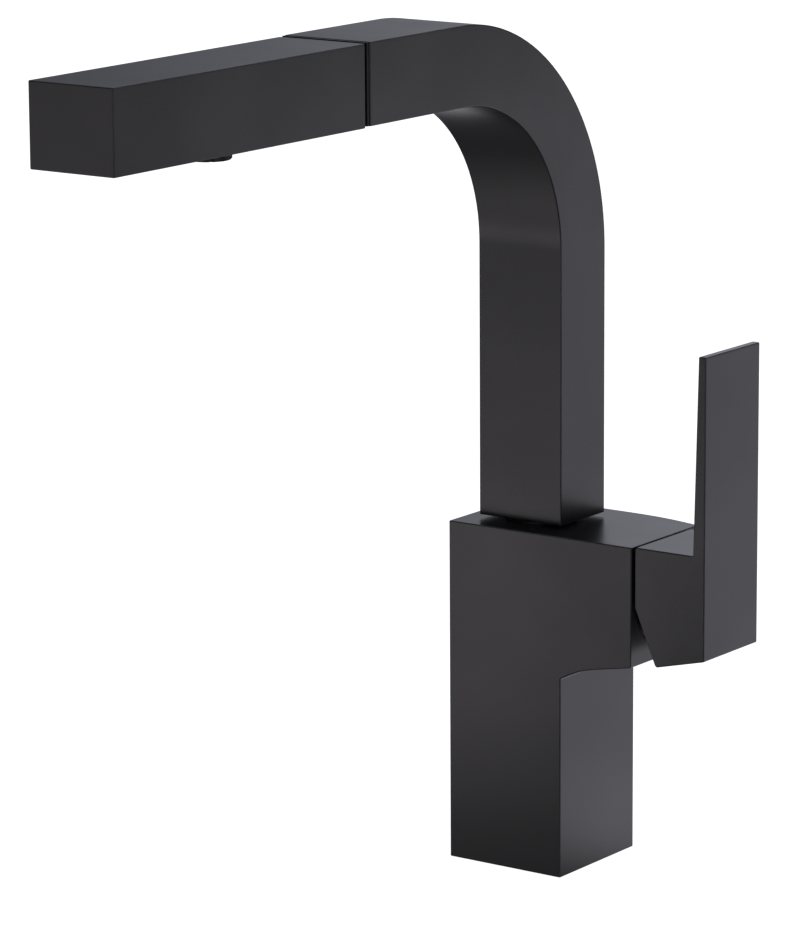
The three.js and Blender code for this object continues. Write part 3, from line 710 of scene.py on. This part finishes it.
OUTLET_BORE = 6.5 * MM
OUTLET_EDGE = 0.5 * MM
NOTCHES = 4
NOTCH_RADIUS = 1.0 * MM
NOTCH_HEIGHT = 1.6 * MM
CELL_PITCH = 1.55 * MM
CELL_RADIUS = 0.62 * MM
CELL_DEPTH = 3 * MM
GRID_RIM = 1.1 * MM             # no cell stands nearer than this to the grid's edge


def make_aerator_ring():
    """The housing, with key notches in its lower edge."""
    outer = AERATOR_HIGH.x
    low, high = AERATOR_LOW.z, AERATOR_HIGH.z
    edge = OUTLET_EDGE
    housing = turned("aerator_ring", [
        (OUTLET_BORE, low + edge), (OUTLET_BORE + edge, low), (outer - edge, low), (outer, low + edge),
        (outer, high), (OUTLET_BORE, high),
    ], "z", AERATOR)
    for notch in range(NOTCHES):
        angle = math.pi / 4 + notch * math.pi / 2
        at = (AERATOR[0] + outer * math.cos(angle), AERATOR[1] + outer * math.sin(angle), 0)
        cut(housing, rod("notch", NOTCH_RADIUS, "z", low - PAST, low + NOTCH_HEIGHT, at, 32))
    return show(housing, "spray_head", "black_plastic", "aerator_housing")


def make_aerator_grid():
    """A disc with a honeycomb of cells in its lower face."""
    low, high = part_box("aerator_insert")
    disc = rod("aerator_grid", high.x, "z", low.z, high.z, AERATOR, chamfer=0.2 * MM)
    for row in range(-4, 5):
        for column in range(-4, 5):
            x = (column + 0.5 * (row % 2)) * CELL_PITCH
            y = row * CELL_PITCH * math.sqrt(0.75)
            if math.hypot(x, y) > high.x - GRID_RIM:
                continue
            at = (AERATOR[0] + x, AERATOR[1] + y, 0)
            cut(disc, rod("cell", CELL_RADIUS, "z", low.z - PAST, low.z + CELL_DEPTH, at, 6))
    return show(disc, "spray_head", "white_plastic", "aerator_insert")


make_spray_shell()
make_neck()
make_o_ring()
make_connector()
make_aerator_ring()
make_aerator_grid()


# ------------------------------------------------------------------ hose
HOSE_BEND = 75 * MM
HOSE_STEP = 2 * MM              # between rings of corners on the straight runs
HOSE_SIDES = 32
BRAID_STRANDS = 12.0            # in each direction round the hose
BRAID_TWIST = 1500.0            # radians along the hose per metre
BRAID_DEPTH = 0.3 * MM


def hose_route():
    """Centre line from the deck up the riser, round the bend and along the arm."""
    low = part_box("spray_hose")[0]
    bend_start = ARM_MIDDLE - HOSE_BEND
    points = []
    rise = int((bend_start - low.z) / HOSE_STEP)
    for k in range(rise):
        points.append(Vector((0, 0, low.z + (bend_start - low.z) * k / rise)))
    for y, z in arc((-HOSE_BEND, bend_start), HOSE_BEND, 0, 90, 48):
        points.append(Vector((0, y, z)))
    run = int((-HOSE_BEND - low.y) / HOSE_STEP)
    for k in range(1, run + 1):
        points.append(Vector((0, -HOSE_BEND + (low.y + HOSE_BEND) * k / run, ARM_MIDDLE)))
    return points


def braid():
    """Woven nylon braid: two crossing sets of strands wound round the hose along Y."""
    material, tree, shader, coordinates = surface("nylon_braid", 0.55)
    axis = tree.nodes.new("ShaderNodeVectorMath")
    axis.operation = "SUBTRACT"
    axis.inputs[1].default_value = ARM_AXIS
    link(tree, coordinates, "Object", axis, 0)
    parts = tree.nodes.new("ShaderNodeSeparateXYZ")
    link(tree, axis, "Vector", parts, "Vector")
    angle = tree.nodes.new("ShaderNodeMath")
    angle.operation = "ARCTAN2"
    link(tree, parts, "X", angle, 0)
    link(tree, parts, "Z", angle, 1)
    strands = []
    for way in (1, -1):
        along = tree.nodes.new("ShaderNodeMath")
        along.operation = "MULTIPLY"
        along.inputs[1].default_value = way * BRAID_TWIST
        link(tree, parts, "Y", along, 0)
        wound = tree.nodes.new("ShaderNodeMath")
        wound.operation = "MULTIPLY_ADD"
        wound.inputs[1].default_value = BRAID_STRANDS
        link(tree, angle, "Value", wound, 0)
        link(tree, along, "Value", wound, 2)
        wave = tree.nodes.new("ShaderNodeMath")
        wave.operation = "SINE"
        link(tree, wound, "Value", wave, 0)
        strands.append(wave)
    woven = tree.nodes.new("ShaderNodeMath")
    woven.operation = "MAXIMUM"
    link(tree, strands[0], "Value", woven, 0)
    link(tree, strands[1], "Value", woven, 1)
    shade = spread(tree, woven, "Value", 0.0, 1.0, -0.2, 1.0)
    colour = tint(tree, shade, "Result", (0.012, 0.012, 0.013), (0.075, 0.076, 0.08))
    link(tree, colour, "Result", shader, "Base Color")
    bump(tree, woven, "Value", shader, 0.7, BRAID_DEPTH)
    return material


def make_hose():
    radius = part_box("spray_hose")[1].x
    across = Vector((1, 0, 0))
    bm = bmesh.new()
    route = hose_route()
    rows = []
    for k, point in enumerate(route):
        ahead = (route[min(k + 1, len(route) - 1)] - route[max(k - 1, 0)]).normalized()
        other = ahead.cross(across)
        row = []
        for side in range(HOSE_SIDES):
            angle = 2 * math.pi * side / HOSE_SIDES
            outward = across * math.cos(angle) + other * math.sin(angle)
            row.append(bm.verts.new(point + radius * outward))
        rows.append(row)
    for low, high in zip(rows, rows[1:]):
        for side in range(HOSE_SIDES):
            n = (side + 1) % HOSE_SIDES
            bm.faces.new((low[side], low[n], high[n], high[side]))
    bm.faces.new(rows[0])
    bm.faces.new(rows[-1])
    hose = from_bmesh("braided_hose", bm)
    hose.data.shade_smooth()
    hose.data.set_sharp_from_angle(angle=math.radians(50))
    hose.data.materials.append(braid())
    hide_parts("spray_hose")
    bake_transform(hose)
    return hose


make_hose()


# ------------------------------------------------------------------ lever
LEVER_LOW, LEVER_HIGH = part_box("lever_handle")
LEVER_SLOPE = 0.235             # rise of the block's underside towards the paddle
LEVER_DROP = 0.8 * MM           # the block's underside, carried on to the head, stands this much lower
HEEL_X = 65.2 * MM
HEEL_RADIUS = 1.4 * MM
HEEL_START = 0.6 * MM           # height of the sloping heel's top above the cartridge's axis
PADDLE_TOP_X = 83.4 * MM        # the paddle's inner face at its top
PADDLE_FOOT_X = 81.5 * MM       # and where it meets the block
BLOCK_ROUND = 1.1 * MM          # the block's softer top edge, beside the head


def make_lever():
    """Front view pushed along Y: a sloping heel, the block, and the thin paddle at its far side."""
    under = HEAD_UNDER + LEVER_SLOPE * (LEVER_HIGH.x - HEAD_RIGHT) - LEVER_DROP
    heel = arc((HEEL_X + HEEL_RADIUS, LEVER_LOW.z + 1.5 * MM), HEEL_RADIUS, 205, 262, 5)
    outline = [
        (LEVER_LOW.x, AXIS_Z + HEEL_START), *heel,
        (LEVER_HIGH.x, under), (LEVER_HIGH.x, LEVER_HIGH.z),
        (PADDLE_TOP_X, LEVER_HIGH.z), (PADDLE_FOOT_X, HEAD_TOP),
        *arc((LEVER_LOW.x + BLOCK_ROUND, HEAD_TOP - BLOCK_ROUND), BLOCK_ROUND, 90, 180, 8),
    ]
    solid = prism("lever_casting", outline, "y", LEVER_LOW.y, LEVER_HIGH.y)
    round_edges(solid, above=50)
    stem_low, stem_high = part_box("cartridge_stem")
    low = (LEVER_LOW.x - PAST, stem_low.y - CLEAR, stem_low.z - CLEAR)
    high = (stem_high.x + CLEAR, stem_high.y + CLEAR, stem_high.z + CLEAR)
    cut(solid, block("socket", low, high))
    screw_low, screw_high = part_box("lever_grub_screw")
    at = ((screw_low.x + screw_high.x) / 2, (screw_low.y + screw_high.y) / 2, 0)
    hole = (screw_high.x - screw_low.x) / 2 + CLEAR
    cut(solid, rod("screw_hole", hole, "z", LEVER_LOW.z - 5 * MM, AXIS_Z, at))
    return show(solid, "lever", "black_coat", "lever_handle")


COVER_BORE = 10.3 * MM


def make_cover():
    """The ring over the cartridge's nut, with a sloping outer edge."""
    low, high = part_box("cartridge_cover")
    outer = (high.y - low.y) / 2
    solid = turned("cover_ring", [
        (COVER_BORE, low.x), (outer, low.x), (outer, high.x - 1.0 * MM),
        (outer - 0.3 * MM, high.x - 0.5 * MM), (outer - 1.5 * MM, high.x),
        (COVER_BORE + 0.5 * MM, high.x), (COVER_BORE, high.x - 0.5 * MM),
    ], "x", CARTRIDGE)
    return show(solid, "body", "black_coat", "cartridge_cover")


make_lever()
make_cover()


# ------------------------------------------------------------------ carried-over CAD nodes
def dress_cad_nodes():
    """Puts the finished materials on the CAD nodes, by their slots in the record."""
    slots = {part["node"]: part["material_slot"] for part in frame["record"]["subparts"]}
    for name, obj in frame["nodes"].items():
        material = SLOT_MATERIALS.get(slots[name])
        if material:
            obj.data.materials.clear()
            obj.data.materials.append(material)


dress_cad_nodes()


# ------------------------------------------------------------------ stage and lights
FLOOR_REACH = 8.0
FLOOR_GLOW = 0.98               # the floor shines as bright as the wall behind it
TABLE_REACH = 4.0
POOL_CORE = 0.2                 # the share of a pool's radius that is at full strength


def make_floor():
    """A plain pale floor. Reflections see the glowing table and the sky in its place."""
    r = FLOOR_REACH
    made = prism("floor", [(-r, -r), (r, -r), (r, r), (-r, r)], "z", -2 * MM, -0.05 * MM)
    material, _, shader, _ = surface("floor_paint", 0.9)
    shader.inputs["Base Color"].default_value = (0.93, 0.93, 0.93, 1)
    shader.inputs["Specular IOR Level"].default_value = 0.1
    shader.inputs["Emission Color"].default_value = (1, 1, 1, 1)
    shader.inputs["Emission Strength"].default_value = FLOOR_GLOW
    made.data.materials.append(material)
    made.visible_glossy = False
    made.visible_diffuse = False


def soft_spot(tree, source, output, centre, inner, outer, strength):
    """The strength of a soft round spot: full within the inner radius, nothing beyond the outer."""
    away = tree.nodes.new("ShaderNodeVectorMath")
    away.operation = "DISTANCE"
    away.inputs[1].default_value = centre
    link(tree, source, output, away, 0)
    glow = node(tree, "ShaderNodeMapRange", From_Min=inner, From_Max=outer,
                To_Min=strength, To_Max=0.0)
    glow.interpolation_type = "SMOOTHSTEP"
    link(tree, away, "Value", glow, "Value")
    return glow


def sum_of(tree, spots, least=0.0):
    """The spots added together, and the same least strength everywhere."""
    total = tree.nodes.new("ShaderNodeMath")
    total.operation = "ADD"
    total.inputs[1].default_value = least
    link(tree, spots[0], "Result", total, 0)
    for spot in spots[1:]:
        more = tree.nodes.new("ShaderNodeMath")
        more.operation = "ADD"
        link(tree, total, "Value", more, 0)
        link(tree, spot, "Result", more, 1)
        total = more
    return total


def make_table(name, depth, rows, least=0.0):
    """A sheet of soft light pools below the floor, seen only in reflections."""
    r = TABLE_REACH
    corners = [(-r, -r, -depth), (r, -r, -depth), (r, r, -depth), (-r, r, -depth)]
    mesh = bpy.data.meshes.new(name)
    mesh.from_pydata(corners, [], [(0, 1, 2, 3)])
    made = new_object(name, mesh)
    material = bpy.data.materials.new(name)
    material.use_nodes = True
    tree = material.node_tree
    tree.nodes.clear()
    coordinates = tree.nodes.new("ShaderNodeTexCoord")
    seen = tree.nodes.new("ShaderNodeBsdfTransparent")
    for direction, tinge, pools in rows:
        spots = []
        for distance, radius, strength in pools:
            centre = (direction[0] * distance, direction[1] * distance, -depth)
            inner = POOL_CORE * radius
            spots.append(soft_spot(tree, coordinates, "Object", centre, inner, radius, strength))
        row = node(tree, "ShaderNodeEmission", Color=(*tinge, 1))
        link(tree, sum_of(tree, spots, least), "Value", row, "Strength")
        both = tree.nodes.new("ShaderNodeAddShader")
        link(tree, seen, 0, both, 0)
        link(tree, row, 0, both, 1)
        seen = both
    output = tree.nodes.new("ShaderNodeOutputMaterial")
    link(tree, seen, 0, output, "Surface")
    made.data.materials.append(material)
    made.visible_camera = False
    made.visible_diffuse = False
    made.visible_shadow = False


def sky_spot(tree, coordinates, azimuth, elevation, half_width, strength):
    """A soft round light in the sky; the azimuth is measured from +Y towards +X, in degrees."""
    turn = math.radians(azimuth)
    lift = math.radians(elevation)
    middle = (math.sin(turn) * math.cos(lift), math.cos(turn) * math.cos(lift), math.sin(lift))
    reach = 2 * math.sin(math.radians(half_width) / 2)
    return soft_spot(tree, coordinates, "Generated", middle, 0.0, reach, strength)


def make_world():
    """Soft lights all round, lit one by one; the camera itself sees plain white."""
    world = bpy.data.worlds.new("studio")
    world.use_nodes = True
    tree = world.node_tree
    tree.nodes.clear()
    coordinates = tree.nodes.new("ShaderNodeTexCoord")
    spots = [sky_spot(tree, coordinates, *light) for light in SKY_LIGHTS]
    room = node(tree, "ShaderNodeBackground", Color=SKY_TINT)
    link(tree, sum_of(tree, spots), "Value", room, "Strength")
    plain = node(tree, "ShaderNodeBackground", Color=(1, 1, 1, 1), Strength=1.0)
    path = tree.nodes.new("ShaderNodeLightPath")
    mix = tree.nodes.new("ShaderNodeMixShader")
    link(tree, path, "Is Camera Ray", mix, 0)
    link(tree, room, "Background", mix, 1)
    link(tree, plain, "Background", mix, 2)
    output = tree.nodes.new("ShaderNodeOutputWorld")
    link(tree, mix, "Shader", output, "Surface")
    bpy.context.scene.world = world


FRONT_LEFT = (-0.586, -0.810)           # where the front faces' reflections lead
BACK_RIGHT = (0.586, 0.810)             # and those of the lever side
BACK_LEFT = (-0.61, 0.79)               # and those under the arm
FRONT_RIGHT = (0.65, -0.76)             # and those of the upright edges and the aerator
NEAR_DEPTH = 10 * MM
NEAR_LEAST = 0.035                      # strength of the near table between its pools
DEEP_DEPTH = 200 * MM
FRONT_TINT = (1.04, 0.98, 1.02)
BACK_TINT = (1.0, 0.98, 1.09)
# a direction, a tint, and the distance, radius and strength of each pool along it
NEAR_POOLS = [
    (FRONT_LEFT, FRONT_TINT, [
        (0.10, 0.12, 0.1), (0.25, 0.16, 0.45), (0.45, 0.22, 0.8), (2.6, 1.0, 1.8)]),
    (BACK_RIGHT, BACK_TINT, [
        (0.12, 0.12, 1.05), (0.30, 0.18, 1.05), (0.60, 0.30, 1.05),
        (1.1, 0.45, 1.0), (1.8, 0.6, 1.45), (2.6, 1.0, 0.75)]),
    (BACK_LEFT, BACK_TINT, [(0.45, 0.20, 1.1)]),
    (FRONT_RIGHT, FRONT_TINT, [(1.6, 0.6, 0.6)]),
]
DEEP_POOLS = [(FRONT_LEFT, FRONT_TINT, [(1.62, 0.66, 2.05)])]
SKY_TINT = (0.97, 0.99, 1.12, 1)
# azimuth, elevation and half width in degrees, and strength: the tops' reflections, the upper
# edges and the lever's top, then a few wide fills for the back and the sides
SKY_LIGHTS = [
    (-24, 15, 16, 1.35), (-24, 25, 14, 0.7), (-24, 3, 16, 0.35),
    (-42, 27, 16, 0.8), (-36, 8, 9, 0.3),
    (16, 36, 12, 5.5), (-110, 52, 22, 1.6), (0, 88, 45, 0.2), (75, 42, 25, 1.6),
    (144, 15, 20, 0.8), (100, -2, 20, 2.5), (170, -2, 20, 2.5), (276, 0, 22, 0.6),
]
make_floor()
make_table("near_light_table", NEAR_DEPTH, NEAR_POOLS, NEAR_LEAST)
make_table("deep_light_table", DEEP_DEPTH, DEEP_POOLS)
make_world()
bpy.context.scene.view_settings.view_transform = "Standard"
